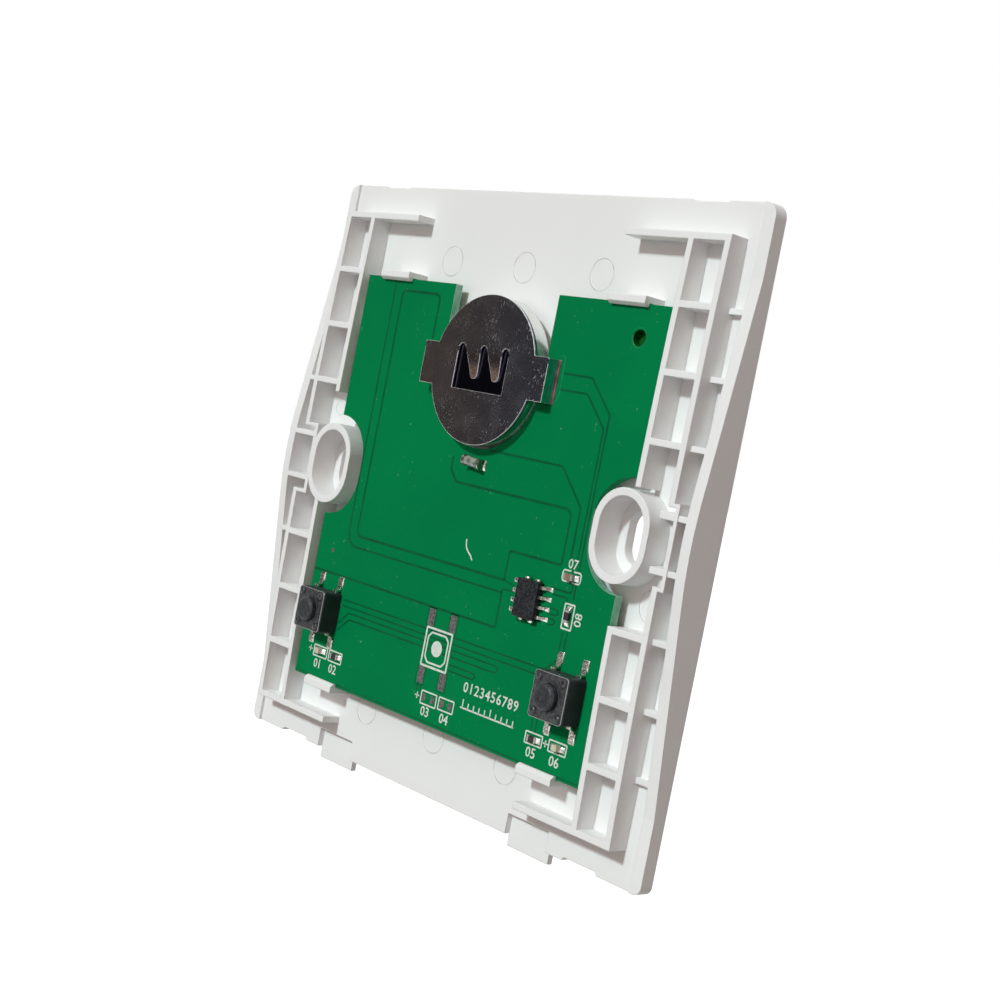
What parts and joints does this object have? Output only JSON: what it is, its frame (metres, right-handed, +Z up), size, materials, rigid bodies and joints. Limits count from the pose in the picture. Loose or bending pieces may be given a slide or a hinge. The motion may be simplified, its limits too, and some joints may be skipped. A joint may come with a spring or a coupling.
{
  "type": "wireless wall switch",
  "caption": "Wireless remote wall switch with its front cover off: ribbed crowned base plate, green circuit board, clipped coin cell, radio chip and push-button switches.",
  "frame": {"origin": "centre of the square plate's flat back face, against the wall", "axes": "X to the right seen from the front, Z up, the front faces -Y"},
  "size_m": [0.083, 0.0082, 0.0846],
  "materials": {
    "white_plastic": "satin white moulding",
    "board_green": "green solder mask over laminate",
    "clip_steel": "bright sheet metal with fine scratches",
    "cell_steel": "bright steel can",
    "chip_black": "matt moulded package",
    "tinned_metal": "tinned",
    "ceramic_brown": "fired ceramic with tinned ends",
    "resistor_black": "glazed face with tinned ends",
    "led_white": "white laminate with tinned ends",
    "led_resin": "clear yellowish resin",
    "diode_glass": "clear glass tube",
    "switch_black": "matt black moulding",
    "cover_steel": "darkened sheet steel",
    "dome_steel": "bright spring steel"
  },
  "bodies": {
    "plate": {"base_plate": "white_plastic", "circuit_board": "board_green", "battery_clip": "clip_steel", "coin_cell": "cell_steel", "lower_contact": "clip_steel", "chip_body": "chip_black", "chip_leads": "tinned_metal", "capacitor": "ceramic_brown", "chip_resistor": "resistor_black", "right_led_resistor": "resistor_black", "left_led_resistor": "resistor_black", "right_led_base": "led_white", "right_led_lens": "led_resin", "left_led_base": "led_white", "left_led_lens": "led_resin", "diode_glass": "diode_glass", "diode_caps": "tinned_metal", "right_switch_housing": "switch_black", "right_switch_cover": "cover_steel", "right_snap_dome": "dome_steel", "right_switch_terminals": "tinned_metal", "left_switch_housing": "switch_black", "left_switch_cover": "cover_steel", "left_snap_dome": "dome_steel", "left_switch_terminals": "tinned_metal"},
    "right_button": {"right_plunger": "switch_black"},
    "left_button": {"left_plunger": "switch_black"}
  },
  "joints": [
    {"name": "right_press", "type": "slide", "parent": "plate", "child": "right_button", "axis": [0, 1, 0], "range_m": [0, 0.00025], "stiffness_N_per_m": 1200, "springref_m": -0.0012, "deforming": ["right_snap_dome"]},
    {"name": "left_press", "type": "slide", "parent": "plate", "child": "left_button", "axis": [0, 1, 0], "range_m": [0, 0.00025], "stiffness_N_per_m": 1200, "springref_m": -0.0012, "deforming": ["left_snap_dome"]}
  ]
}
